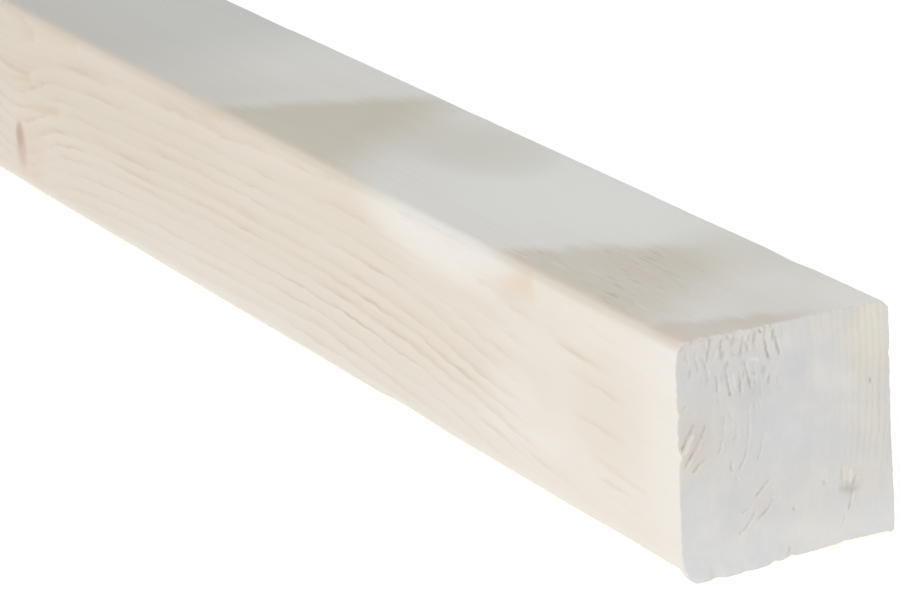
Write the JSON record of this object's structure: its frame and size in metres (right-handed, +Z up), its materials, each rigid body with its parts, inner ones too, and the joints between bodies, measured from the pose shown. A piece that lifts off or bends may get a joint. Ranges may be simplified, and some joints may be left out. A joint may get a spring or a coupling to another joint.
{
  "type": "square timber batten",
  "caption": "Square planed softwood batten with eased long edges and square cross-cut ends, lying flat, for framing, studs and general joinery.",
  "frame": {"origin": "middle of the face that lies on the floor", "axes": "+X along the length towards the end seen in the picture, +Y across the width, +Z up"},
  "size_m": [1, 0.044, 0.044],
  "materials": {
    "planed_spruce": "planed bare spruce, cross-cut ends left rough from the saw"
  },
  "bodies": {
    "root": {"timber_batten": "planed_spruce"}
  },
  "joints": []
}
